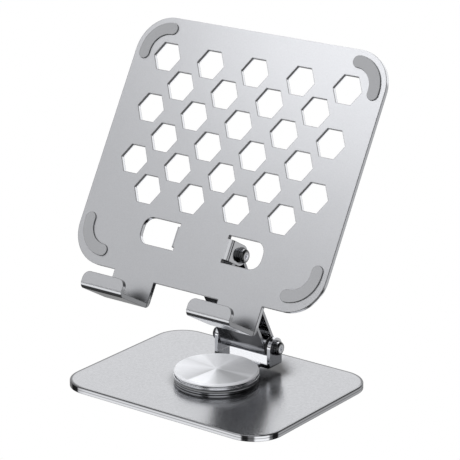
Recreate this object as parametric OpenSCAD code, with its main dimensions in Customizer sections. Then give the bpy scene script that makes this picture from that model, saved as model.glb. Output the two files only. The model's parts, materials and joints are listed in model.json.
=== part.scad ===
// Folding tablet stand. A base plate carries a turntable with a yoke, a hinged arm and a
// perforated tray with two hooks. Millimetres, +Z up. The origin is on the resting plane,
// under the turntable axis. The yoke and the arm stand behind it, towards +Y.

/* [Base] */
// Width of the base plate
base_w = 160; // [150:1:180]
// Depth of the base plate
base_d = 124.5; // [116:0.5:140]
// Thickness of the base plate
base_t = 4.1; // [3.9:0.1:6]
// Corner radius of the base plate
base_corner_r = 20.5; // [14:0.5:24]
// Chamfer round the top edge of the base plate
base_chamfer = 0.5; // [0.2:0.1:1]
// Thickness of the anti-slip mat under the base plate
mat_t = 1; // [0.8:0.1:2]
// Distance from the edge of the base plate to the edge of the mat
mat_inset = 4; // [2:0.5:8]

/* [Turntable] */
// Radius of the fixed ring on the base plate
ring_r = 27; // [25:0.5:30]
// Thickness of the fixed ring
ring_t = 1.75; // [1.2:0.05:3]
// Radius of the nylon slip washer between the ring and the turning plate
slip_r = 24; // [18:0.5:25]
// Thickness of the slip washer
slip_t = 1.3; // [0.8:0.1:2]
// Radius of the cap and of the rim of the turning plate
cap_r = 27.25; // [26:0.25:30]
// Thickness of the cap
cap_t = 1.8; // [1.6:0.1:3]
// Chamfer round the top of the cap
cap_chamfer = 1; // [0.4:0.1:1.2]
// Height of the rim of the turning plate
rim_t = 1; // [0.6:0.1:1.4]
// Depth of the groove between that rim and the cap
groove = 1.25; // [0.5:0.25:2]

/* [Yoke] */
// Thickness of the yoke and the turning plate
yoke_t = 2.5; // [2.4:0.1:3]
// Width of the yoke over its two ears
yoke_w = 44; // [43.6:0.1:46]
// Width of the neck between the turning plate and the yoke
neck_w = 30; // [20:1:36]
// Distance from the turntable axis back to the lower hinge
hinge_back = 34.05; // [33.9:0.05:37]
// Height of the lower hinge above the base plate
hinge_rise = 16.15; // [15:0.05:20]

/* [Arm] */
// Distance between the two hinge axes
arm_len = 82.1; // [75:0.1:95]
// Lean of the arm towards the front, in degrees
arm_lean = 27.8; // [15:0.1:35]
// Width of the arm
arm_w = 35; // [34:0.1:35.4]
// Radius of the arm's two barrels and of the ears round them
barrel_r = 6.65; // [6.4:0.05:6.8]
// Thickness of the arm's front and back walls
wall_t = 2.1; // [1.5:0.1:2.5]
// Gap between the two walls
wall_gap = 7.4; // [5:0.1:7.8]

/* [Hinges] */
// Radius of the two hinge pins
pin_r = 4; // [3.6:0.1:4.2]
// Outer radius of the two bushes in the arm
bush_r = 5; // [4.8:0.1:5.2]
// Radius of the hinge screws' shanks
screw_r = 2.45; // [2:0.05:2.5]
// Radius of the hinge screws' heads
head_r = 4.5; // [4.2:0.1:4.8]
// Height of the hinge screws' heads
head_h = 3; // [2.8:0.1:5]
// Size of the hexagon key, across flats
key_af = 3; // [2.5:0.5:3.5]
// Radius of the washer under each screw head
screw_washer_r = 5; // [4.9:0.1:6]

/* [Tray] */
// Width of the tray
tray_w = 190; // [182:1:210]
// Thickness of the sheet
sheet_t = 3; // [2.8:0.1:3.1]
// Distance from the middle of the hole pattern up to the top edge
tray_up = 69.1; // [66:0.1:75]
// Distance from the middle of the hole pattern down to the bottom edge
tray_down = 97.15; // [95:0.05:99]
// Corner radius of the tray
tray_corner_r = 24; // [22:0.5:26]
// Lean of the tray towards the back, in degrees
tray_lean = 29.9; // [15:0.1:45]
// Spacing of the hexagonal holes in a row
hex_pitch = 34.5; // [33:0.1:35]
// Size of the hexagonal holes, across flats
hex_af = 18.1; // [15:0.1:19]
// Distance from the front face back to the upper hinge
axis_back = 14; // [13.5:0.1:16]
// Distance from the middle of the hole pattern down to the upper hinge
axis_down = 68.4; // [68:0.1:69]

/* [Hooks and pads] */
// Width of each hook
hook_w = 32; // [26:1:34]
// Distance from the middle of the tray to the inner side of each hook
hook_in = 25; // [24:0.5:27]
// Depth of the slot behind the lip
slot_depth = 26; // [20:0.5:30]
// Distance from the middle of the hole pattern down to the floor of the slot
slot_down = 113; // [110:0.5:115]
// Height of the lip above the floor of the slot
lip_h = 8; // [6:0.5:12]
// Width of each corner pad
pad_w = 7.6; // [6:0.1:9]
// Radius of the middle line of each corner pad
pad_r = 16.4; // [14:0.1:18]
// Straight end of each corner pad, along the side edge
pad_leg = 2; // [0:0.1:4]
// Height of the corner pads above the tray
pad_t = 1.1; // [0.8:0.1:2]

/* [Hidden] */
$fn = 64;
eps = 0.05;
// Radial clearance of running fits, and the free gap between turning faces
fit = 0.05;
slip_gap = 0.3;
base_top = mat_t + base_t;
// Turntable heights
ring_top = base_top + ring_t;
slip_top = ring_top + slip_t;
plate_z = slip_top + slip_gap;
plate_top = plate_z + yoke_t;
// Pivot post, its disc spring, and the bolt that holds it from below
post_r = 5;
post_head_r = 8.5;
post_head_t = 1.2;
post_seat = 1;
pivot_spring_t = 0.6;
cap_recess = 0.9;
cap_recess_r = 9.5;
bolt_r = 2;
bolt_head_r = 3.8;
bolt_head_t = 1.3;
bolt_depth = 6;
sink_depth = 2.3;
sink_r = 7;
pivot_washer_r = 6.5;
pivot_washer_t = 0.8;
// Hinge places and widths
low_y = hinge_back;
low_z = base_top + hinge_rise;
up_y = low_y - arm_len * sin(arm_lean);
up_z = low_z + arm_len * cos(arm_lean);
ear_x = yoke_w / 2;
low_gap_x = ear_x - yoke_t;
up_gap_x = ear_x - sheet_t;
arm_x = arm_w / 2;
yoke_bend_r = 1.5;
screw_washer_t = 1;
screw_len = 14;
head_round = 1.7;
key_depth = 2;
// Hinge washers: a nylon friction washer beside the arm, then a disc spring
friction_r = 6.2;
washer_side_gap = 0.1;
spring_r = 6;
spring_sheet = 0.4;
// Tray details
row_step = hex_pitch / 2;
bottom_strip = 2.4;
window_in = 18.5;
window_out = 46.5;
window_h = 17.6;
window_r = 7;
tray_ear_h = 13.2;
tray_bend_in = 0.5;
tray_bend_out = tray_bend_in + sheet_t;
hook_bend_in = 0.8;
hook_bend_out = hook_bend_in + sheet_t;
lip_corner_r = 5;
pad_rise = 2.1;

// Shared shapes

// Extrudes an outline drawn in (Y, Z) along X, centred
module along_x(length) {
    rotate([90, 0, 90]) linear_extrude(length, center = true) children();
}

// A shaft along X, from x0 to x1
module shaft_x(r, x0, x1) {
    translate([x0, 0, 0]) rotate([0, 90, 0]) cylinder(r = r, h = x1 - x0);
}

module ring(r_out, r_in, height) {
    difference() {
        cylinder(r = r_out, h = height);
        translate([0, 0, -1]) cylinder(r = r_in, h = height + 2);
    }
}

// A flat ring across X, from x0 to x1
module ring_x(r_out, r_in, x0, x1) {
    translate([x0, 0, 0]) rotate([0, 90, 0]) ring(r_out, r_in, x1 - x0);
}

module rounded_rect(w, h, r) {
    square([w - 2 * r, h], center = true);
    square([w, h - 2 * r], center = true);
    for (sx = [-1, 1], sy = [-1, 1]) translate([sx * (w / 2 - r), sy * (h / 2 - r)]) circle(r);
}

// A rectangle from x0 to x1, with rounded corners at its x0 end only
module trough(x0, x1, y0, y1, r) {
    translate([x0 + r, y0]) square([x1 - x0 - r, y1 - y0]);
    translate([x0, y0 + r]) square([r + eps, y1 - y0 - 2 * r]);
    for (y = [y0 + r, y1 - r]) translate([x0 + r, y]) circle(r);
}

// A plate with rounded corners and a chamfer round its top edge
module chamfered_plate(w, d, t, r, c) {
    rotate([90, 0, 0]) linear_extrude(d - 2 * r, center = true) chamfered_section(w, t, c);
    rotate([90, 0, 90]) linear_extrude(w - 2 * r, center = true) chamfered_section(d, t, c);
    for (sx = [-1, 1], sy = [-1, 1]) translate([sx * (w / 2 - r), sy * (d / 2 - r), 0]) {
        cylinder(r = r, h = t - c);
        translate([0, 0, t - c]) cylinder(r1 = r, r2 = r - c, h = c);
    }
}

module chamfered_section(w, t, c) {
    polygon([
        [-w / 2, 0], [w / 2, 0], [w / 2, t - c],
        [w / 2 - c, t], [c - w / 2, t], [-w / 2, t - c]
    ]);
}

// Places a shape at one hinge axis, once for each side
module both_sides() {
    children();
    mirror([1, 0, 0]) children();
}

module at_lower_hinge() {
    translate([0, low_y, low_z]) children();
}

module at_upper_hinge() {
    translate([0, up_y, up_z]) children();
}

// Tray frame: x across, y up the sheet, z out of its front face, from the middle of the holes
module on_tray() {
    at_upper_hinge() rotate([90 - tray_lean, 0, 0]) translate([0, axis_down, axis_back]) children();
}

// Hinge hardware, drawn on the hinge axis

module hinge_pin(half) {
    difference() {
        shaft_x(pin_r, -half, half);
        shaft_x(screw_r + fit, -half - 1, half + 1);
    }
}

module hinge_screw() {
    head_x = ear_x + screw_washer_t;
    difference() {
        union() {
            shaft_x(screw_r, head_x - screw_len, head_x + 1);
            translate([head_x, 0, 0]) rotate([0, 90, 0]) rotate_extrude() head_outline();
        }
        translate([head_x + head_h - key_depth, 0, 0]) rotate([0, 90, 0])
            cylinder(d = key_af / cos(30), h = key_depth + 1, $fn = 6);
    }
}

module head_outline() {
    square([head_r, head_h - head_round]);
    square([head_r - head_round, head_h]);
    intersection() {
        square([head_r, head_h]);
        translate([head_r - head_round, head_h - head_round]) circle(head_round);
    }
}

module screw_washer() {
    ring_x(screw_washer_r, screw_r + fit, ear_x, ear_x + screw_washer_t);
}

module friction_washer(thickness) {
    x0 = arm_x + washer_side_gap;
    ring_x(friction_r, pin_r + fit, x0, x0 + thickness);
}

// A coned disc spring whose rim touches x1 and whose bore touches x0
module disc_spring(x0, x1) {
    cone = x1 - x0 - spring_sheet;
    translate([x0, 0, 0]) rotate([0, 90, 0]) rotate_extrude()
        polygon([
            [pin_r + 2 * fit, 0], [pin_r + 2 * fit, spring_sheet],
            [spring_r, cone + spring_sheet], [spring_r, cone]
        ]);
}

// Base

module base_plate() {
    color("silver") difference() {
        translate([0, 0, mat_t])
            chamfered_plate(base_w, base_d, base_t, base_corner_r, base_chamfer);
        cylinder(r = post_r + fit, h = base_top + 1);
        cylinder(r = sink_r, h = mat_t + sink_depth);
    }
}

module base_mat() {
    color("dimgray") linear_extrude(mat_t)
        rounded_rect(base_w - 2 * mat_inset, base_d - 2 * mat_inset, base_corner_r - mat_inset);
}

module lower_ring() {
    color("darkgray") translate([0, 0, base_top]) ring(ring_r, post_r + fit, ring_t);
}

module slip_washer() {
    color("black") translate([0, 0, ring_top]) ring(slip_r, post_r + fit, slip_t);
}

module pivot_post() {
    shaft_z = mat_t + sink_depth;
    head_z = plate_z + post_seat + pivot_spring_t + 2 * fit;
    color("gray") difference() {
        union() {
            translate([0, 0, shaft_z]) cylinder(r = post_r, h = head_z - shaft_z);
            translate([0, 0, head_z]) cylinder(r = post_head_r, h = post_head_t);
        }
        cylinder(r = bolt_r + fit, h = shaft_z + bolt_depth);
    }
}

module pivot_spring() {
    color("darkslategray") translate([0, 0, plate_z + post_seat + 2 * fit])
        ring(post_head_r - 1, post_r + fit, pivot_spring_t);
}

module pivot_bolt() {
    head_z = mat_t + sink_depth - pivot_washer_t - bolt_head_t;
    color("gray") difference() {
        union() {
            translate([0, 0, head_z]) cylinder(r = bolt_head_r, h = bolt_head_t);
            translate([0, 0, head_z]) cylinder(r = bolt_r, h = bolt_head_t + bolt_depth);
        }
        cylinder(d = bolt_r * 1.5, h = head_z + bolt_head_t / 2, $fn = 6);
    }
}

module pivot_washer() {
    color("darkgray") translate([0, 0, mat_t + sink_depth - pivot_washer_t])
        ring(pivot_washer_r, bolt_r + fit, pivot_washer_t);
}

// Turntable

module yoke_bracket() {
    color("lightgray") difference() {
        union() {
            translate([0, 0, plate_z]) turning_plate();
            yoke();
        }
        cylinder(r = post_r + fit, h = plate_top + 1);
        translate([0, 0, plate_z + post_seat]) cylinder(r = post_head_r + 0.5, h = yoke_t);
        at_lower_hinge() shaft_x(screw_r + fit, -ear_x - 1, ear_x + 1);
    }
}

module turning_plate() {
    cylinder(r = cap_r, h = rim_t);
    cylinder(r = cap_r - groove, h = yoke_t);
    translate([-neck_w / 2, 0, 0]) cube([neck_w, low_y, yoke_t]);
}

// A channel bent up into two ears with round tops
module yoke() {
    difference() {
        union() {
            translate([0, low_y + barrel_r, 0]) rotate([90, 0, 0])
                linear_extrude(2 * barrel_r) rotate(90)
                    trough(plate_z, low_z, -ear_x, ear_x, yoke_bend_r);
            at_lower_hinge() shaft_x(barrel_r, -ear_x, ear_x);
        }
        translate([-low_gap_x, low_y - barrel_r - 1, plate_top])
            cube([2 * low_gap_x, 2 * barrel_r + 2, low_z + barrel_r]);
    }
}

module disc_cap() {
    color("whitesmoke") translate([0, 0, plate_top]) difference() {
        union() {
            cylinder(r = cap_r, h = cap_t - cap_chamfer);
            translate([0, 0, cap_t - cap_chamfer])
                cylinder(r1 = cap_r, r2 = cap_r - cap_chamfer, h = cap_chamfer);
        }
        translate([0, 0, -1]) cylinder(r = cap_recess_r, h = cap_recess + 1);
    }
}

module lower_pin() {
    color("gray") at_lower_hinge() hinge_pin(low_gap_x - fit);
}

module lower_screws() {
    color("silver") at_lower_hinge() both_sides() hinge_screw();
}

module lower_screw_washers() {
    color("gainsboro") at_lower_hinge() both_sides() screw_washer();
}

module lower_friction_washers() {
    color("black") at_lower_hinge() both_sides() friction_washer(1);
}

module lower_disc_springs() {
    color("dimgray") at_lower_hinge() both_sides()
        disc_spring(arm_x + washer_side_gap + 1 + fit, low_gap_x - fit);
}

// Arm

// Two barrels joined by a front and a back wall, with the space between them open at the sides
module arm_link() {
    color("darkgray") at_lower_hinge() difference() {
        along_x(arm_w) rotate(arm_lean) {
            for (y = [0, arm_len]) translate([0, y]) circle(barrel_r);
            for (side = [-1, 1]) translate([side * (wall_gap + wall_t) / 2 - wall_t / 2, 0])
                square([wall_t, arm_len]);
        }
        shaft_x(bush_r, -arm_w, arm_w);
        translate([0, up_y - low_y, up_z - low_z]) shaft_x(bush_r, -arm_w, arm_w);
    }
}

module hinge_bush() {
    ring_x(bush_r, pin_r + fit, -arm_x, arm_x);
}

module lower_bush() {
    color("goldenrod") at_lower_hinge() hinge_bush();
}

module upper_bush() {
    color("goldenrod") at_upper_hinge() hinge_bush();
}

// Tray

module tray_panel() {
    color("lightgray") difference() {
        on_tray() {
            translate([0, 0, -sheet_t]) linear_extrude(sheet_t) panel_outline();
            both_sides() hook();
            both_sides() tray_ear();
        }
        at_upper_hinge() shaft_x(screw_r + fit, -ear_x - 1, ear_x + 1);
    }
}

module panel_outline() {
    difference() {
        union() {
            translate([0, (tray_up - tray_down) / 2])
                rounded_rect(tray_w, tray_up + tray_down, tray_corner_r);
            translate([-hook_in - 1, -tray_down - bottom_strip])
                square([2 * hook_in + 2, bottom_strip + 1]);
        }
        hex_holes();
        both_sides_2d() window();
    }
}

module both_sides_2d() {
    children();
    mirror([1, 0]) children();
}

// Rows of five and four hexagonal holes in turn, five in the top row
module hex_holes() {
    for (row = [0:5]) {
        per_row = row % 2 == 0 ? 5 : 4;
        for (i = [0:per_row - 1])
            translate([(i - (per_row - 1) / 2) * hex_pitch, (2.5 - row) * row_step])
                circle(d = hex_af / cos(30), $fn = 6);
    }
}

// A D-shaped window beside each ear, straight on its inner side
module window() {
    length = window_out - window_in;
    translate([window_in, -axis_down - window_h / 2]) {
        square([length - window_r, window_h]);
        translate([0, window_r]) square([length, window_h - 2 * window_r]);
        for (y = [window_r, window_h - window_r]) translate([length - window_r, y]) circle(window_r);
    }
}

// An ear bent back from the inner side of the window, round about the hinge axis
module tray_ear() {
    translate([window_in, -axis_down + tray_ear_h / 2, -tray_bend_out]) rotate([90, 0, 0])
        linear_extrude(tray_ear_h) {
            intersection() {
                difference() {
                    circle(tray_bend_out);
                    circle(tray_bend_in);
                }
                square(tray_bend_out);
            }
            translate([-1, tray_bend_in]) square([1 + eps, sheet_t]);
            translate([tray_bend_in, tray_bend_out - axis_back])
                square([sheet_t, axis_back - tray_bend_out + eps]);
        }
    translate([0, -axis_down, -axis_back]) shaft_x(tray_ear_h / 2, up_gap_x, ear_x);
}

// A tab that bends forward into a shelf and up into a lip
module hook() {
    lip_y = lip_h - slot_down;
    translate([hook_in + hook_w / 2, 0, 0]) difference() {
        along_x(hook_w) difference() {
            trough(-slot_down - sheet_t, -tray_down + 1, -sheet_t, slot_depth + sheet_t, hook_bend_out);
            trough(-slot_down, 0, 0, slot_depth, hook_bend_in);
            translate([lip_y, slot_depth / 2]) square([slot_down, slot_depth]);
        }
        both_sides() translate([hook_w / 2 - lip_corner_r, lip_y - lip_corner_r, slot_depth - 1])
            linear_extrude(sheet_t + 2) difference() {
                square(lip_corner_r + 1);
                circle(lip_corner_r);
            }
    }
}

// A quarter-round pad with round ends, its upright end longer; the bottom pads sit pad_rise higher
module corner_pad(sx, sy) {
    y = sy > 0 ? tray_up - tray_corner_r : tray_corner_r - tray_down + pad_rise;
    color("darkgray") on_tray()
        translate([sx * (tray_w / 2 - tray_corner_r), y, 0]) linear_extrude(pad_t) {
            intersection() {
                difference() {
                    circle(pad_r + pad_w / 2);
                    circle(pad_r - pad_w / 2);
                }
                corner_quarter(sx, sy);
            }
            translate([sx * pad_r, -sy * pad_leg / 2])
                square([pad_w, pad_leg + eps], center = true);
            translate([sx * pad_r, -sy * pad_leg]) circle(pad_w / 2);
            translate([0, sy * pad_r]) circle(pad_w / 2);
        }
}

// The quarter of the plane that the corner points into
module corner_quarter(sx, sy) {
    size = pad_r + pad_w;
    translate([sx > 0 ? 0 : -size, sy > 0 ? 0 : -size]) square(size);
}

module pad_top_left() {
    corner_pad(-1, 1);
}

module pad_top_right() {
    corner_pad(1, 1);
}

module pad_bottom_left() {
    corner_pad(-1, -1);
}

module pad_bottom_right() {
    corner_pad(1, -1);
}

module upper_pin() {
    color("gray") at_upper_hinge() hinge_pin(up_gap_x - fit);
}

module upper_screws() {
    color("silver") at_upper_hinge() both_sides() hinge_screw();
}

module upper_screw_washers() {
    color("gainsboro") at_upper_hinge() both_sides() screw_washer();
}

module upper_friction_washers() {
    color("black") at_upper_hinge() both_sides() friction_washer(0.7);
}

module upper_disc_springs() {
    color("dimgray") at_upper_hinge() both_sides()
        disc_spring(arm_x + washer_side_gap + 0.7 + fit, up_gap_x - fit);
}

base_plate();
base_mat();
lower_ring();
slip_washer();
pivot_post();
pivot_spring();
pivot_bolt();
pivot_washer();
yoke_bracket();
disc_cap();
lower_pin();
lower_screws();
lower_screw_washers();
lower_friction_washers();
lower_disc_springs();
arm_link();
lower_bush();
upper_bush();
tray_panel();
pad_top_left();
pad_top_right();
pad_bottom_left();
pad_bottom_right();
upper_pin();
upper_screws();
upper_screw_washers();
upper_friction_washers();
upper_disc_springs();
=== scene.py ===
import json
import math

import bpy
from mathutils import Matrix, Vector


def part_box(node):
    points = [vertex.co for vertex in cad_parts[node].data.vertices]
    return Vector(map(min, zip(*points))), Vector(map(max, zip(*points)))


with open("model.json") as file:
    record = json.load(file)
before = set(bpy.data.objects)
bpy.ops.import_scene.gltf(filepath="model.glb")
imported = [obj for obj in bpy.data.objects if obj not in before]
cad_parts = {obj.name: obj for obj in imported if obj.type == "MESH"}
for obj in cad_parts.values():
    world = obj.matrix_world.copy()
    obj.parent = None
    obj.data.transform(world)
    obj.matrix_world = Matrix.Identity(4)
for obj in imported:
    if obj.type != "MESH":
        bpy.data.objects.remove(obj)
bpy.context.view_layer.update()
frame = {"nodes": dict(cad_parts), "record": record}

MM = 0.001

# ---------------------------------------------------------------- camera

# The camera's place, its heading round the object and its fall below the horizon
CAMERA_PLACE = Vector((0.8039, -1.07516, 0.5460))
CAMERA_HEADING = math.radians(36.42)
CAMERA_FALL = math.radians(18.20)
CAMERA_ROLL = math.radians(0.222)
CAMERA_LENS = 178.13
CAMERA_SENSOR = 36
CAMERA_SHIFT = (-0.00109, 0.00109)
CAMERA_NEAR, CAMERA_FAR = 0.01, 100


def make_camera():
    data = bpy.data.cameras.new("camera")
    data.lens = CAMERA_LENS
    data.sensor_width = CAMERA_SENSOR
    data.shift_x, data.shift_y = CAMERA_SHIFT
    data.clip_start, data.clip_end = CAMERA_NEAR, CAMERA_FAR
    camera = bpy.data.objects.new("camera", data)
    bpy.context.scene.collection.objects.link(camera)
    turn = Matrix.Rotation(CAMERA_HEADING, 4, "Z")
    tilt = Matrix.Rotation(math.pi / 2 - CAMERA_FALL, 4, "X")
    roll = Matrix.Rotation(CAMERA_ROLL, 4, "Z")
    camera.matrix_world = Matrix.Translation(CAMERA_PLACE) @ turn @ tilt @ roll
    bpy.context.scene.camera = camera


# ---------------------------------------------------------------- node helpers

X_AXIS, Z_AXIS = (1, 0, 0), (0, 0, 1)
FRONT = (0, -1, 0)


def grey(level):
    """A grey with the faint blue of bare aluminium."""
    return (level * 0.95, level * 0.962, level, 1)


BLACK, WHITE = grey(0), grey(1)
# The painted shade that edge lines, corners and other darkened places are tinted towards
PAINTED_EDGE_SHADE, PAINTED_CORNER_SHADE = grey(0.05), grey(0.03)


def darker(colour, share):
    """A colour at this share of its brightness."""
    return [part * share for part in colour[:3]] + [1]


class Nodes:
    """A material's or world's node tree, with one short call for each node."""

    def __init__(self, tree):
        self.tree = tree
        self.tree.nodes.clear()

    def add(self, kind, settings=None, **inputs):
        made = self.tree.nodes.new(kind)
        for key, value in (settings or {}).items():
            setattr(made, key, value)
        for key, value in inputs.items():
            self.put(made, key.replace("_", " "), value)
        return made

    def put(self, node, socket, value):
        """Links an output to a socket, or sets a number or vector on it."""
        target = node.inputs[socket]
        if isinstance(value, bpy.types.NodeSocket):
            self.tree.links.new(value, target)
        else:
            target.default_value = value

    def math(self, operation, a, b=0.0, c=0.0):
        made = self.add("ShaderNodeMath", {"operation": operation})
        for place, value in enumerate((a, b, c)):
            self.put(made, place, value)
        return made.outputs[0]

    def times(self, first, *others):
        """The product of several numbers."""
        product = first
        for other in others:
            product = self.math("MULTIPLY", product, other)
        return product

    def linear(self, value, factor, offset):
        """value times factor, plus offset."""
        return self.math("MULTIPLY_ADD", value, factor, offset)

    def vector(self, operation, a, b=(0, 0, 0)):
        made = self.add("ShaderNodeVectorMath", {"operation": operation})
        self.put(made, 0, a)
        self.put(made, 1, b)
        return made.outputs["Value"] if operation in ("DOT_PRODUCT", "LENGTH") else made.outputs[0]

    def place(self):
        """Where a point lies on its part, in the frame that the parts share at rest."""
        return self.add("ShaderNodeTexCoord").outputs["Object"]

    def split(self, vector):
        return self.add("ShaderNodeSeparateXYZ", Vector=vector).outputs

    def facing(self, direction):
        """The cosine between a surface's normal and a direction."""
        normal = self.add("ShaderNodeTexCoord").outputs["Normal"]
        return self.vector("DOT_PRODUCT", normal, direction)

    def steps(self, value, low, high, out_low=0.0, out_high=1.0):
        """A smooth step from out_low, at low, to out_high, at high. Low may be the larger one."""
        made = self.add("ShaderNodeMapRange", {"interpolation_type": "SMOOTHSTEP"})
        for place, number in enumerate((value, low, high, out_low, out_high)):
            self.put(made, place, number)
        return made.outputs[0]

    def ramp(self, value, stops):
        """Grey levels by value: stops is a list of (value from 0 to 1, grey)."""
        made = self.add("ShaderNodeValToRGB", Fac=value)
        elements = made.color_ramp.elements
        while len(elements) > 1:
            elements.remove(elements[-1])
        for number, (place, level) in enumerate(stops):
            element = elements[0] if number == 0 else elements.new(place)
            element.position = place
            element.color = (level, level, level, 1)
        return made.outputs[0]

    def mix(self, share, a, b):
        """A mix of two numbers."""
        made = self.add("ShaderNodeMix", {"data_type": "FLOAT"})
        for place, value in zip((0, 2, 3), (share, a, b)):
            self.put(made, place, value)
        return made.outputs[0]

    def tint(self, share, a, b):
        """A mix of two colours."""
        made = self.add("ShaderNodeMix", {"data_type": "RGBA"})
        for place, value in zip((0, 6, 7), (share, a, b)):
            self.put(made, place, value)
        return made.outputs[2]

    def shaded(self, colour, shade):
        """A colour multiplied by a number."""
        made = self.add("ShaderNodeMix", {"data_type": "RGBA", "blend_type": "MULTIPLY"})
        for place, value in zip((0, 6, 7), (1.0, colour, shade)):
            self.put(made, place, value)
        return made.outputs[2]

    def aluminium(self, level):
        """The grey of bare aluminium, from a level that varies over the surface."""
        return self.tint(level, BLACK, WHITE)

    def noise(self, vector, scale, detail=2.0, roughness=0.5):
        return self.add(
            "ShaderNodeTexNoise", Vector=vector, Scale=scale, Detail=detail, Roughness=roughness
        ).outputs["Fac"]

    def turned_lines(self, place, scale):
        """The fine rings that a lathe leaves round the Z axis."""
        ring = self.add("ShaderNodeCombineXYZ", X=self.radius(place), Z=self.split(place)["Z"])
        return self.noise(ring.outputs[0], scale, 3.0, 0.7)

    def radius(self, place):
        """How far a point lies from the Z axis."""
        return self.vector("LENGTH", self.vector("MULTIPLY", place, (1, 1, 0)))

    def heading(self, place):
        """Degrees round the Z axis from +X."""
        parts = self.split(place)
        return self.math("DEGREES", self.math("ARCTAN2", parts["Y"], parts["X"]))

    def height_share(self, place, node_name):
        """How high a point lies on a node: 0 at its foot, 1 at its top."""
        low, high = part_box(node_name)
        above = self.math("SUBTRACT", self.split(place)["Z"], low[2])
        return self.math("DIVIDE", above, high[2] - low[2])

    def open_sky(self, reach, samples=8):
        """1 in the open, and lower where other surfaces stand within reach."""
        made = self.add("ShaderNodeAmbientOcclusion", {"samples": samples}, Distance=reach)
        return made.outputs["AO"]

    def edges(self, width, slight=0.995, full=0.90):
        """1 on convex and concave edges, 0 on flat stretches."""
        rounded = self.add("ShaderNodeBevel", {"samples": 4}, Radius=width).outputs[0]
        true = self.add("ShaderNodeNewGeometry").outputs["Normal"]
        return self.steps(self.vector("DOT_PRODUCT", rounded, true), slight, full)

    def bump(self, height, distance, strength=1.0):
        made = self.add("ShaderNodeBump", Height=height, Distance=distance, Strength=strength)
        return made.outputs["Normal"]


def make_material(name, look):
    """look(nodes) gives what goes into each socket of the shader."""
    material = bpy.data.materials.new(name)
    material.use_nodes = True
    nodes = Nodes(material.node_tree)
    shader = nodes.add("ShaderNodeBsdfPrincipled")
    output = nodes.add("ShaderNodeOutputMaterial")
    nodes.put(output, "Surface", shader.outputs[0])
    for socket, value in look(nodes).items():
        nodes.put(shader, socket, value)
    return material


# ---------------------------------------------------------------- bead-blasted metal

# Scale of the finest grain, and its share of a blasted surface's relief
FINE_GRAIN, FINE_SHARE = 5200, 0.4
# How much the wide clouds lighten and darken a blasted surface
CLOUD_CONTRAST = 0.05
# The share of the relief that is left on polished faces
POLISHED_RELIEF = 0.15


def blasted(nodes, colour, grain_scale, contrast, cloud_scale):
    """A blasted surface's colour, its grain and its relief."""
    place = nodes.place()
    grain = nodes.noise(place, grain_scale, 2.0, 0.6)
    cloud = nodes.noise(place, cloud_scale, 3.0, 0.5)
    fine = nodes.noise(place, FINE_GRAIN, 1.0, 0.5)
    lowest = 1 - (contrast + CLOUD_CONTRAST) / 2
    shade = nodes.linear(grain, contrast, nodes.linear(cloud, CLOUD_CONTRAST, lowest))
    relief = nodes.math("ADD", nodes.times(grain, 1 - FINE_SHARE), nodes.times(fine, FINE_SHARE))
    return nodes.shaded(colour, shade), grain, relief


# The base plate's and the yoke's grain: scale, contrast, scale of the clouds and depth of the relief
PLATE_GRAIN, PLATE_CONTRAST, PLATE_CLOUD, PLATE_RELIEF = 1100, 0.34, 28, 0.03 * MM
# How far the grain spreads a plate's roughness
PLATE_ROUGH_SPREAD = 0.10


def plate(nodes, colour, roughness, grain_size, cut, cut_or_shade_colour, cut_roughness):
    """A blasted plate, with cut_or_shade_colour where cut is 1: on the base plate its polished sides, on
    the yoke its painted shade.
    """
    colour, grain, relief = blasted(nodes, colour, PLATE_GRAIN / grain_size, PLATE_CONTRAST, PLATE_CLOUD)
    rough = nodes.linear(grain, PLATE_ROUGH_SPREAD, roughness - PLATE_ROUGH_SPREAD / 2)
    return {
        "Base Color": nodes.tint(cut, colour, cut_or_shade_colour),
        "Metallic": 1.0,
        "Roughness": nodes.mix(cut, rough, cut_roughness),
        "Normal": nodes.bump(relief, PLATE_RELIEF, nodes.mix(cut, 1.0, POLISHED_RELIEF)),
    }


# The base plate's corner radius, and the painted reflection bands on its side from foot to top: share of
# the height, and brightness
BASE_CORNER = 20.5 * MM
BASE_SIDE_PAINTED_BANDS = (
    (0.0, 0.40), (0.06, 0.44), (0.13, 0.70), (0.38, 0.66), (0.44, 0.36), (0.54, 0.36),
    (0.60, 0.66), (0.76, 0.62), (0.84, 0.30), (1.0, 0.22),
)
# The painted dark reflection lines along the edges: their width, and their share on the top face, on the
# sides and at the back
RIM_WIDTH, RIM_TOP, RIM_SIDE, RIM_BACK = 3.0 * MM, 0.55, 0.1, 0.7
# Painted shade round what stands on the plate, near it and wider by the yoke: reach, and share
NEAR_REACH, NEAR_SHADE_SHARE = 12 * MM, 0.45
YOKE_REACH, YOKE_SHADE_SHARE = 34 * MM, 0.96


def back_edge_painted_line(nodes, place):
    """1 along the base plate's top edge at the back and on the left, where a painted dark reflection line
    goes.
    """
    low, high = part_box("base_plate")
    middle, half = (Vector(low) + Vector(high)) / 2, (Vector(high) - Vector(low)) / 2
    offset = nodes.vector("SUBTRACT", place, middle)
    flat = Vector((half.x - BASE_CORNER, half.y - BASE_CORNER, 1))
    beyond = nodes.vector("SUBTRACT", nodes.vector("ABSOLUTE", offset), flat)
    corner = nodes.vector("LENGTH", nodes.vector("MAXIMUM", beyond, (0, 0, 0)))
    parts = nodes.split(beyond)
    inside = nodes.math("MINIMUM", nodes.math("MAXIMUM", parts["X"], parts["Y"]), 0.0)
    reach = nodes.math("ADD", corner, inside)
    sides = nodes.split(nodes.vector("DIVIDE", offset, (-half.x, half.y, 1)))
    behind = nodes.steps(nodes.math("MAXIMUM", sides["X"], sides["Y"]), 0.70, 0.85)
    line = nodes.steps(reach, BASE_CORNER - 2.1 * MM, BASE_CORNER - 1.3 * MM)
    return nodes.times(behind, line)


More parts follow.
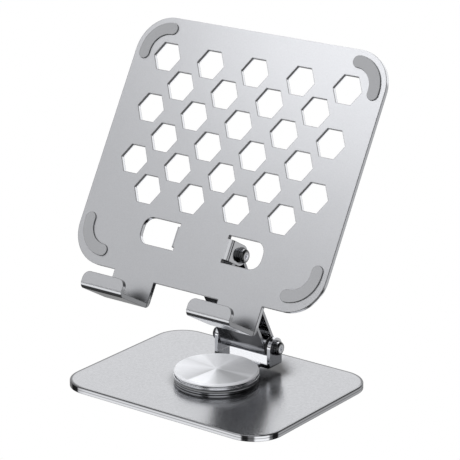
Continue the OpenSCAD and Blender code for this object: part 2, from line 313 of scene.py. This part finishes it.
def yoke_shade_area(nodes, place):
    """1 behind the turntable's axis and to its right, where the yoke stands at rest and its painted shade
    falls.
    """
    parts = nodes.split(place)
    behind = nodes.steps(parts["Y"], 0, 12 * MM)
    right = nodes.steps(parts["X"], 8 * MM, 16 * MM)
    not_far = nodes.steps(parts["X"], 46 * MM, 28 * MM)
    return nodes.times(behind, right, not_far)


def base_look(nodes):
    """Satin top and polished sides, with painted reflection bands on the sides, fine painted dark
    reflection lines along the edges, and painted shade round what stands on the plate.
    """
    place = nodes.place()
    cut = nodes.steps(nodes.math("ABSOLUTE", nodes.facing(Z_AXIS)), 0.97, 0.90)
    # Painted reflection bands on the polished sides, by height
    side = nodes.aluminium(nodes.ramp(nodes.height_share(place, "base_plate"), BASE_SIDE_PAINTED_BANDS))
    look = plate(nodes, grey(0.58), 0.21, 1.7, cut, side, 0.07)
    colour = look["Base Color"]
    # Painted dark reflection lines along every edge, and stronger along the back edges
    painted_rim_line = nodes.times(nodes.edges(RIM_WIDTH, 0.985, 0.93), nodes.mix(cut, RIM_TOP, RIM_SIDE))
    colour = nodes.tint(painted_rim_line, colour, PAINTED_EDGE_SHADE)
    colour = nodes.tint(nodes.times(back_edge_painted_line(nodes, place), RIM_BACK), colour, PAINTED_EDGE_SHADE)
    # Painted shade round what stands on the plate, and deeper by the yoke
    painted_shade = nodes.steps(nodes.open_sky(NEAR_REACH), 0.90, 0.52)
    colour = nodes.tint(nodes.times(painted_shade, NEAR_SHADE_SHARE), colour, PAINTED_CORNER_SHADE)
    painted_shade = nodes.steps(nodes.open_sky(YOKE_REACH, 16), 0.92, 0.72)
    painted_shade = nodes.times(yoke_shade_area(nodes, place), painted_shade, YOKE_SHADE_SHARE)
    return look | {"Base Color": nodes.tint(painted_shade, colour, PAINTED_CORNER_SHADE)}


# Radii just outside the turning plate's rim, where the painted groove shade gives way to the painted foot
# shade
PLATE_EDGE = (27.8 * MM, 28.4 * MM)
# Heights above the plate's underside: the top of the painted shade on the yoke's foot, and the lower edge
# of the painted shade in the groove
FOOT_TOP = (2.7 * MM, 2.2 * MM)
GROOVE_FOOT = (1.3 * MM, 1.7 * MM)


def yoke_look(nodes):
    """Bright metal, with painted shade on its foot in front and in the groove above the turning plate's
    rim.
    """
    place = nodes.place()
    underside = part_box("yoke_bracket")[0][2]
    height = nodes.math("SUBTRACT", nodes.split(place)["Z"], underside)
    # Painted shade on the foot in front, and in the groove inside the turning plate's rim
    painted_foot_shade = nodes.times(nodes.steps(nodes.facing(FRONT), 0.3, 0.6), nodes.steps(height, *FOOT_TOP))
    painted_groove_shade = nodes.steps(height, *GROOVE_FOOT)
    painted_yoke_shade = nodes.mix(nodes.steps(nodes.radius(place), *PLATE_EDGE), painted_groove_shade, painted_foot_shade)
    return plate(nodes, grey(0.88), 0.10, 1.0, painted_yoke_shade, grey(0.10), 0.2)


# ---------------------------------------------------------------- tray and arm

TRAY_LEAN = math.radians(29.9)
TRAY_NORMAL = (0, -math.cos(TRAY_LEAN), math.sin(TRAY_LEAN))
TRAY_UP = (0, math.sin(TRAY_LEAN), math.cos(TRAY_LEAN))
# Which way the upper left wall of every hexagonal hole faces
HEX_UPPER_WALL = (math.sqrt(0.75), -0.5 * math.sin(TRAY_LEAN), -0.5 * math.cos(TRAY_LEAN))

# Thickness of the tray's sheet
SHEET = 3 * MM
# From the tray's middle to a hook's outer side, and from one hook's left side to the other's
HOOK_OUTER, HOOK_PITCH = 57 * MM, 82 * MM
# The painted shade spot in a hook's inner corner: its middle from the hook's left side, half width and
# height
SPOT_MIDDLE, SPOT_HALF_WIDTH, SPOT_HEIGHT = 25 * MM, 12 * MM, 10 * MM
# How near the surfaces are that cast the painted shade in the tray's corners
CORNER_REACH = 13.5 * MM
# The tray's grain: scale, contrast, scale of the clouds and depth of the relief
TRAY_GRAIN, TRAY_CONTRAST, TRAY_CLOUD, TRAY_RELIEF = 1200, 0.17, 24, 0.018 * MM


def largest_face_offset(node, normal):
    """How far the node's widest flat face with this normal lies from the origin, along the normal."""
    areas = {}
    for face in node.data.polygons:
        if face.normal.dot(normal) > 0.999:
            offset = round(face.center.dot(normal), 4)
            areas[offset] = areas.get(offset, 0) + face.area
    return max(areas, key=areas.get)


def tray_wall_painted_shade(nodes, depth, cut):
    """1 where painted shade goes: along the holes' front edges, deeper on their upper left walls, and on
    the lips' right corners.
    """
    wall = nodes.times(cut, nodes.steps(depth, 3.4 * MM, 3.1 * MM), nodes.steps(depth, -0.3 * MM, 0))
    upper = nodes.steps(nodes.facing(HEX_UPPER_WALL), 0.92, 0.97)
    lip_line = nodes.steps(depth, 0.6 * MM, 0.4 * MM)
    deep_line = nodes.times(upper, nodes.steps(depth, 2.3 * MM, 2.0 * MM))
    walls = nodes.times(wall, nodes.math("MAXIMUM", lip_line, deep_line))
    on_lip = nodes.steps(depth, -4 * MM, -6 * MM)
    turned_up = nodes.steps(nodes.facing(TRAY_UP), 0.10, 0.30)
    turned_right = nodes.steps(nodes.facing(X_AXIS), 0.10, 0.30)
    return nodes.math("MAXIMUM", walls, nodes.times(on_lip, turned_up, turned_right))


def hook_painted_shade(nodes, place, rise, depth):
    """How much painted shade each hook's inner corner gets, right of the hook's middle."""
    across = nodes.math("MODULO", nodes.math("ADD", nodes.split(place)["X"], HOOK_OUTER), HOOK_PITCH)
    aside = nodes.math("DIVIDE", nodes.math("SUBTRACT", across, SPOT_MIDDLE), SPOT_HALF_WIDTH)
    above = nodes.math("DIVIDE", rise, SPOT_HEIGHT)
    distance = nodes.vector("LENGTH", nodes.add("ShaderNodeCombineXYZ", X=aside, Y=above).outputs[0])
    facing_front = nodes.steps(nodes.facing(TRAY_NORMAL), 0.5, 0.9)
    on_tab = nodes.times(facing_front, nodes.steps(depth, -2 * MM, -1 * MM))
    return nodes.times(on_tab, nodes.steps(distance, 1.0, 0.15, 0.0, 0.68))


def tray_look(nodes):
    """The tray's sheet: blasted faces, polished bends, painted shade on the hole walls near the front, in
    the corners and in the hooks, and painted dark reflection lines along the edges.
    """
    panel = frame["nodes"]["tray_panel"]
    heights = [vertex.co.dot(Vector(TRAY_UP)) for vertex in panel.data.vertices]
    place = nodes.place()
    height = nodes.vector("DOT_PRODUCT", place, TRAY_UP)
    front = largest_face_offset(panel, Vector(TRAY_NORMAL))
    depth = nodes.math("SUBTRACT", front, nodes.vector("DOT_PRODUCT", place, TRAY_NORMAL))
    rise = nodes.math("SUBTRACT", height, min(heights) + SHEET)
    flatness = nodes.math("ABSOLUTE", nodes.facing(TRAY_NORMAL))
    cut = nodes.steps(flatness, 0.75, 0.35)
    polished = nodes.steps(flatness, 0.985, 0.93)

    colour, grain, relief = blasted(nodes, grey(0.635), TRAY_GRAIN, TRAY_CONTRAST, TRAY_CLOUD)
    colour = nodes.tint(cut, colour, grey(0.85))
    # Painted shade on the hole walls near the front and on the lips' right corners
    colour = nodes.tint(nodes.times(tray_wall_painted_shade(nodes, depth, cut), 0.95), colour, PAINTED_CORNER_SHADE)
    # Painted dark reflection lines along the tray's edges, fainter along its top edge
    below_top = nodes.steps(height, max(heights) - 1.2 * MM, max(heights) - 2.2 * MM, 0.1, 0.75)
    colour = nodes.tint(nodes.times(nodes.edges(0.8 * MM, 0.985, 0.93), below_top), colour, PAINTED_EDGE_SHADE)
    # Painted shade in the tray's corners
    painted_shade = nodes.steps(nodes.open_sky(CORNER_REACH), 0.72, 0.46, 0.0, 0.97)
    colour = nodes.tint(painted_shade, colour, PAINTED_CORNER_SHADE)
    colour = nodes.tint(hook_painted_shade(nodes, place, rise, depth), colour, PAINTED_CORNER_SHADE)
    # Painted shade on the hooks' side faces near their floor
    hook_side_painted_shade = nodes.times(nodes.steps(nodes.facing(X_AXIS), 0.6, 0.9), nodes.steps(rise, 4 * MM, 1 * MM))
    return {
        "Base Color": nodes.tint(nodes.times(hook_side_painted_shade, 0.5), colour, grey(0.10)),
        "Metallic": 1.0,
        "Roughness": nodes.mix(polished, nodes.linear(grain, 0.08, 0.30), 0.10),
        "Normal": nodes.bump(relief, TRAY_RELIEF, nodes.mix(polished, 1.0, POLISHED_RELIEF)),
    }


# Radii just outside the arm's barrel, which gets a painted highlight on its upper side
BARREL = (7.2 * MM, 6.8 * MM)


def arm_look(nodes):
    """The arm, with painted reflections: dark walls, darkest in front, a lower barrel painted brighter
    above than below, light side faces, and painted dark lines along the edges.
    """
    place = nodes.place()
    low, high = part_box("lower_pin")
    axis = (Vector(low) + Vector(high)) / 2
    reach = nodes.vector("MULTIPLY", nodes.vector("SUBTRACT", place, axis), (0, 1, 1))
    barrel = nodes.steps(nodes.vector("LENGTH", reach), *BARREL)
    side = nodes.steps(nodes.math("ABSOLUTE", nodes.facing(X_AXIS)), 0.6, 0.9)
    grain = nodes.noise(place, 1100, 2.0, 0.6)
    # Painted reflections: the front walls dark, the other walls lighter
    level = nodes.mix(nodes.steps(nodes.facing(FRONT), 0.1, 0.4), 0.55, 0.13)
    # A painted highlight on the barrel's upper side, fading to painted shade below
    level = nodes.mix(barrel, level, nodes.steps(nodes.facing(Z_AXIS), -0.35, 0.35, 0.40, 0.90))
    level = nodes.mix(side, level, 0.60)
    level = nodes.times(level, nodes.linear(grain, 0.30, 0.85))
    # Painted dark reflection lines along the edges
    level = nodes.mix(nodes.times(nodes.edges(0.4 * MM), 0.5), level, 0.05)
    return {
        "Base Color": nodes.aluminium(level),
        "Metallic": 1.0,
        "Roughness": nodes.mix(side, nodes.linear(grain, 0.08, 0.12), 0.25),
        "Normal": nodes.bump(grain, 0.012 * MM),
    }


# ---------------------------------------------------------------- turned and polished metal

# Depths of the relief that turned lines and polishing leave
TURNED_RELIEF, POLISHED_BUMP = 0.008 * MM, 0.002 * MM


def turned_look(colour, roughness, anisotropy, along):
    """Metal turned on a lathe: fine lines, and highlights that run out from the axis."""
    def look(nodes):
        line = nodes.turned_lines(nodes.place(), 4000)
        tangent = nodes.add("ShaderNodeTangent", {"direction_type": "RADIAL", "axis": along})
        return {
            "Base Color": nodes.tint(line, darker(colour, 0.93), colour),
            "Metallic": 1.0,
            "Roughness": nodes.linear(line, 0.12, roughness - 0.06),
            "Anisotropic": anisotropy,
            "Tangent": tangent.outputs[0],
            "Normal": nodes.bump(line, TURNED_RELIEF),
        }
    return look


def polished_look(colour, roughness):
    """Polished metal with faint smears."""
    def look(nodes):
        place = nodes.place()
        smear = nodes.noise(place, 400, 3.0, 0.6)
        return {
            "Base Color": nodes.tint(smear, darker(colour, 0.97), colour),
            "Metallic": 1.0,
            "Roughness": nodes.linear(smear, roughness * 0.6, roughness * 0.7),
            "Normal": nodes.bump(nodes.noise(place, 2500), POLISHED_BUMP),
        }
    return look


def button_head_painted_look(nodes):
    """A screw's button head with painted reflections: a dome painted black with a painted highlight where
    it faces up, and an end painted grey outside and bright inside, with a socket painted bright.
    """
    place = nodes.place()
    # Painted reflections: the dome is painted dark, with a painted highlight where it faces up
    painted_dark_dome = nodes.steps(nodes.math("ABSOLUTE", nodes.facing(X_AXIS)), 0.97, 0.88)
    upward = nodes.steps(nodes.facing((0, -0.3, 0.95)), 0.90, 0.98)
    smear = nodes.noise(place, 500, 3.0, 0.6)
    # In shares of the head's width
    share = nodes.add("ShaderNodeTexCoord").outputs["Generated"]
    centred = nodes.vector("SUBTRACT", share, (0.5, 0.5, 0.5))
    radius = nodes.vector("LENGTH", nodes.vector("MULTIPLY", centred, (0, 1, 1)))
    socket = nodes.steps(radius, 0.22, 0.18)
    end = nodes.mix(nodes.steps(radius, 0.34, 0.25), 0.30, 0.82)
    level = nodes.mix(painted_dark_dome, end, nodes.mix(upward, 0.06, 0.9))
    level = nodes.mix(socket, level, 0.95)
    return {
        "Base Color": nodes.aluminium(nodes.times(level, nodes.linear(smear, 0.10, 0.93))),
        "Metallic": nodes.mix(socket, 1.0, 0.1),
        "Roughness": nodes.linear(smear, 0.05, 0.05),
        "Normal": nodes.bump(nodes.noise(place, 2500), POLISHED_BUMP),
    }


# The painted reflection bands on the ring's side from foot to top: share of the height, and brightness
RING_SIDE_PAINTED_BANDS = ((0.0, 0.03), (0.16, 0.03), (0.24, 0.62), (0.66, 0.62), (0.76, 0.08), (1.0, 0.06))
# Where the painted highlight on the ring's side is brightest, in degrees round the axis from +X
RING_HIGHLIGHT_HEADING = -72


def ring_look(nodes):
    """The fixed ring: a pale top, and a side with painted reflections: a dark line above and below a grey
    band, brightest towards the front and darker round the sides and back.
    """
    place = nodes.place()
    line = nodes.turned_lines(place, 4000)
    # Painted reflection bands by height, fading away from the painted highlight's heading
    painted_band = nodes.ramp(nodes.height_share(place, "lower_ring"), RING_SIDE_PAINTED_BANDS)
    turn = nodes.math("SUBTRACT", nodes.heading(place), RING_HIGHLIGHT_HEADING)
    away = nodes.math("ABSOLUTE", nodes.math("WRAP", turn, 180, -180))
    painted_band = nodes.times(painted_band, nodes.steps(away, 72, 36, 0.14, 1.0))
    upward = nodes.steps(nodes.facing(Z_AXIS), 0.8, 0.95)
    painted_band = nodes.mix(upward, painted_band, 0.35)
    return {
        "Base Color": nodes.aluminium(nodes.times(painted_band, nodes.linear(line, 0.16, 0.92))),
        "Metallic": nodes.mix(upward, 1.0, 0.3),
        "Roughness": nodes.linear(line, 0.10, 0.08),
        "Normal": nodes.bump(line, TURNED_RELIEF),
    }


# How bright the painted glints on the cap's face are along each radius: degrees round the axis from +X, and
# share.
# One painted white wedge faces the front, the right is painted darkest, and thin painted light rays lie
# between.
CAP_PAINTED_GLINTS = (
    (-180, 0.80), (-160, 0.90), (-120, 0.75), (-98, 0.60),
    (-93, 1.0), (-70, 1.0),
    (-50, 0.55), (-25, 0.40), (-5, 0.40), (5, 0.60), (15, 0.50), (35, 0.55), (65, 0.60), (85, 0.70),
    (92, 0.80), (110, 0.75), (125, 0.80), (140, 0.75), (150, 0.90), (165, 0.85), (175, 0.75), (180, 0.80),
)
# The cap's side, and the painted shade line at its foot, as a depth below the cap's top
CAP_SIDE, CAP_SHADE_LINE = 0.62, 0.03
CAP_LINE_DEPTH = (1.7 * MM, 1.9 * MM)
# The painted highlight at the cap's middle: its radius, its share and its brightness
CAP_SPOT_RADIUS, CAP_SPOT_SHARE, CAP_HIGHLIGHT_LEVEL = 4.5 * MM, 0.60, 0.95


def spun_look(nodes):
    """The cap: a face turned in fine rings, with painted glints in light and dark sectors, a painted
    highlight at its middle, and a painted shade line at the foot of its side.
    """
    place = nodes.place()
    line = nodes.turned_lines(place, 2600)
    turn = nodes.math("DIVIDE", nodes.heading(place), 360)
    radius = nodes.radius(place)
    ripple = nodes.add("ShaderNodeCombineXYZ", X=nodes.times(turn, 9.0), Y=nodes.times(radius, 30.0))
    streak = nodes.noise(ripple.outputs[0], 6.0, 3.0, 0.6)
    # Painted glints: light and dark sectors with painted rays, and a painted highlight near the axis
    stops = [(angle / 360 + 0.5, share) for angle, share in CAP_PAINTED_GLINTS]
    painted_glint = nodes.ramp(nodes.math("ADD", turn, 0.5), stops)
    painted_glint = nodes.times(painted_glint, nodes.linear(streak, 0.16, 0.92), nodes.linear(line, 0.10, 0.95))
    near_axis = nodes.steps(radius, 0, CAP_SPOT_RADIUS, CAP_SPOT_SHARE, 0)
    painted_glint = nodes.mix(near_axis, painted_glint, CAP_HIGHLIGHT_LEVEL)
    face = nodes.steps(nodes.facing(Z_AXIS), 0.90, 0.97)
    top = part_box("disc_cap")[1][2]
    depth = nodes.math("SUBTRACT", top, nodes.split(place)["Z"])
    # A painted shade line at the foot of the cap's side
    side = nodes.mix(nodes.steps(depth, *CAP_LINE_DEPTH), CAP_SIDE, CAP_SHADE_LINE)
    tangent = nodes.add("ShaderNodeTangent", {"direction_type": "RADIAL", "axis": "Z"})
    return {
        "Base Color": nodes.aluminium(nodes.mix(face, side, painted_glint)),
        "Metallic": nodes.mix(face, 0.3, 0.10),
        "Roughness": nodes.mix(face, 0.25, nodes.linear(line, 0.10, 0.50)),
        "Anisotropic": 0.6,
        "Tangent": tangent.outputs[0],
        "Normal": nodes.bump(line, TURNED_RELIEF),
    }


def polymer_look(colour, roughness, relief):
    """Nylon, rubber or silicone with a fine grain."""
    def look(nodes):
        place = nodes.place()
        grain = nodes.noise(place, 2600, 2.0, 0.6)
        cloud = nodes.noise(place, 60, 2.0, 0.5)
        share = nodes.linear(cloud, 0.6, nodes.times(grain, 0.4))
        return {
            "Base Color": nodes.tint(share, darker(colour, 0.9), colour),
            "Roughness": nodes.linear(grain, 0.14, roughness - 0.07),
            "Normal": nodes.bump(grain, relief),
        }
    return look


BRONZE = (0.55, 0.36, 0.16, 1)

# One look for each material slot of the record
LOOKS = {
    "tray_metal": tray_look,
    "base_metal": base_look,
    "yoke_metal": yoke_look,
    "arm_metal": arm_look,
    "ring_metal": ring_look,
    "spun_metal": spun_look,
    "plain_steel": turned_look(grey(0.22), 0.22, 0.3, "X"),
    "spring_steel": polished_look(grey(0.30), 0.25),
    "bright_chrome": button_head_painted_look,
    "bronze": polished_look(BRONZE, 0.3),
    "black_nylon": polymer_look(grey(0.012), 0.5, 0.01 * MM),
    "mat_rubber": polymer_look(grey(0.03), 0.7, 0.03 * MM),
    "pad_silicone": polymer_look(grey(0.22), 0.55, 0.015 * MM),
}
MATERIALS = {name: make_material(name, look) for name, look in LOOKS.items()}

# ---------------------------------------------------------------- parts

# Radius of the broken edges, in millimetres
PAD_EDGE = 0.35
EDGES = {
    "tray_panel": 0.15,
    "base_plate": 0.12,
    "yoke_bracket": 0.25,
    "arm_link": 0.2,
    "disc_cap": 0.1,
    "lower_ring": 0.15,
    "pad_top_left": PAD_EDGE,
    "pad_top_right": PAD_EDGE,
    "pad_bottom_left": PAD_EDGE,
    "pad_bottom_right": PAD_EDGE,
}
EDGE_SEGMENTS = 3
FLAT_ANGLE, SHARP_ANGLE = math.radians(0.3), math.radians(30)
WELD_DISTANCE = 1e-6


def finish_node(name, node, slot):
    """Gives a CAD node its material, and breaks its sharp edges if it is a large one."""
    node.data.materials.clear()
    node.data.materials.append(MATERIALS[slot])
    if name not in EDGES:
        return
    weld = node.modifiers.new("weld", "WELD")
    weld.merge_threshold = WELD_DISTANCE
    flat = node.modifiers.new("flat", "DECIMATE")
    flat.decimate_type = "DISSOLVE"
    flat.angle_limit = FLAT_ANGLE
    bevel = node.modifiers.new("edges", "BEVEL")
    bevel.width = EDGES[name] * MM
    bevel.segments = EDGE_SEGMENTS
    bevel.limit_method = "ANGLE"
    bevel.angle_limit = SHARP_ANGLE
    bevel.harden_normals = False
    bevel.use_clamp_overlap = True
    smooth = node.modifiers.new("normals", "WEIGHTED_NORMAL")
    smooth.keep_sharp = False


slots = {part["node"]: part["material_slot"] for part in frame["record"]["subparts"]}
for node_name, node_object in frame["nodes"].items():
    finish_node(node_name, node_object, slots[node_name])

# ---------------------------------------------------------------- studio

# Patches of the studio that the metal mirrors, each as: heading and half width, lowest and highest
# elevation, softness, all in degrees, and brightness. Headings run from +X towards +Y. Later ones cover.
STUDIO_PATCHES = (
    (-131, 44, 8, 62, 12, 0.77),     # a soft box for the tray's front
    (135, 48, -18, 90, 10, 1.05),    # a bright wall behind, for the base's top
    (54, 34, -50, 2, 8, 0.50),       # grey for faces on the right
    (54, 34, 6, 60, 8, 0.22),        # darker above that grey, for chamfers on the right
    (6, 28, 10, 72, 8, 0.04),        # a black card for the right ear's bend
    (180, 34, 42, 78, 8, 0.06),      # a black card on the left, high up
    (-128, 30, -27, 6, 4, 1.15),     # a white strip for the base's front side and the hooks' bends
    (-140, 50, -75, -29, 4, 0.06),   # black below the strip, for the lower half of those bends
    (-131, 34, 3, 13, 2, 0.03),      # a thin black line above the strip
    (-25, 26, -34, 4, 5, 1.40),      # white for the middle of the base's front right corner
    (-84, 11, -70, 30, 4, 0.03),     # a black band for the left of that corner
    (-166, 19, -70, 10, 4, 0.05),    # a black band for the base's front left corner
    (26, 13, -70, 22, 4, 0.02),      # a black band for the right of the front right corner
    (132, 22, -36, -14, 4, 0.27),    # the hooks' undersides and the holes' upper walls
    (54, 22, -78, -40, 5, 1.30),     # white for the holes' upper left walls
    (80, 11, -8, 16, 4, 1.00),       # white for the holes' lower left walls
    (90, 50, -95, -60, 6, 0.50),     # grey, almost straight below
)
# The rest of the studio: height from -1 to 1 halved and shifted to 0 to 1, and brightness
STUDIO_HEIGHTS = ((0.0, 0.02), (0.10, 0.02), (0.24, 0.05), (0.40, 0.5), (0.55, 0.8), (0.8, 1.0), (1.0, 1.1))


def make_world():
    world = bpy.data.worlds.new("studio")
    bpy.context.scene.world = world
    world.use_nodes = True
    nodes = Nodes(world.node_tree)
    direction = nodes.add("ShaderNodeTexCoord").outputs["Generated"]
    upward = nodes.split(direction)["Z"]
    height = nodes.math("DEGREES", nodes.math("ARCSINE", upward))
    heading = nodes.heading(direction)
    level = nodes.ramp(nodes.linear(upward, 0.5, 0.5), STUDIO_HEIGHTS)
    for middle, half, low, high, soft, value in STUDIO_PATCHES:
        turn = nodes.math("WRAP", nodes.math("SUBTRACT", heading, middle), 180, -180)
        across = nodes.steps(nodes.math("ABSOLUTE", turn), half + soft, half - soft)
        above = nodes.steps(height, low - soft, low + soft)
        below = nodes.steps(height, high + soft, high - soft)
        level = nodes.mix(nodes.times(above, below, across), level, value)
    light = nodes.add("ShaderNodeBackground", Color=level, Strength=1.0)
    output = nodes.add("ShaderNodeOutputWorld")
    nodes.put(output, "Surface", light.outputs[0])


def white_stage(name, points, faces):
    """A plain white surface that only the camera sees."""
    mesh = bpy.data.meshes.new(name)
    mesh.from_pydata(points, [], faces)
    stage = bpy.data.objects.new(name, mesh)
    bpy.context.scene.collection.objects.link(stage)
    material = bpy.data.materials.new(name)
    material.use_nodes = True
    nodes = Nodes(material.node_tree)
    light = nodes.add("ShaderNodeEmission", Color=(1, 1, 1, 1), Strength=1.0)
    nodes.put(nodes.add("ShaderNodeOutputMaterial"), "Surface", light.outputs[0])
    mesh.materials.append(material)
    stage.visible_diffuse = False
    stage.visible_glossy = False
    stage.visible_transmission = False
    stage.visible_volume_scatter = False
    stage.visible_shadow = False


# Half the floor's width, and the wall's number of sides, radius, foot and top, in metres
FLOOR_HALF = 12.0
WALL_SIDES, WALL_RADIUS, WALL_FOOT, WALL_TOP = 64, 10.0, -0.1, 12.0


def make_stage():
    """A floor, and a round wall with a lid."""
    corners = ((-1, -1), (1, -1), (1, 1), (-1, 1))
    white_stage("floor", [(x * FLOOR_HALF, y * FLOOR_HALF, 0) for x, y in corners], [(0, 1, 2, 3)])
    angles = [2 * math.pi * i / WALL_SIDES for i in range(WALL_SIDES)]
    ring = [(WALL_RADIUS * math.cos(angle), WALL_RADIUS * math.sin(angle)) for angle in angles]
    points = [(x, y, z) for z in (WALL_FOOT, WALL_TOP) for x, y in ring]
    faces = []
    for i in range(WALL_SIDES):
        following = (i + 1) % WALL_SIDES
        faces.append((i, following, WALL_SIDES + following, WALL_SIDES + i))
    faces.append(tuple(range(WALL_SIDES, 2 * WALL_SIDES)))
    white_stage("backdrop", points, faces)


def square_light(name, place, target, size, power):
    data = bpy.data.lights.new(name, "AREA")
    data.shape = "RECTANGLE"
    data.size, data.size_y = size, size
    data.energy = power
    light = bpy.data.objects.new(name, data)
    bpy.context.scene.collection.objects.link(light)
    light.location = place
    light.rotation_mode = "QUATERNION"
    light.rotation_quaternion = (Vector(target) - Vector(place)).to_track_quat("-Z", "Y")
    return light


make_camera()
make_world()
make_stage()
square_light("key", place=(-0.23, -0.30, 0.59), target=(0.04, 0.03, 0.2), size=0.25, power=0.25)
fill = square_light("fill", place=(0.146, -0.826, 0.565), target=(0.0, 0.0, 0.02), size=0.3, power=11.0)
fill.visible_glossy = False
bpy.context.scene.view_settings.view_transform = "Standard"
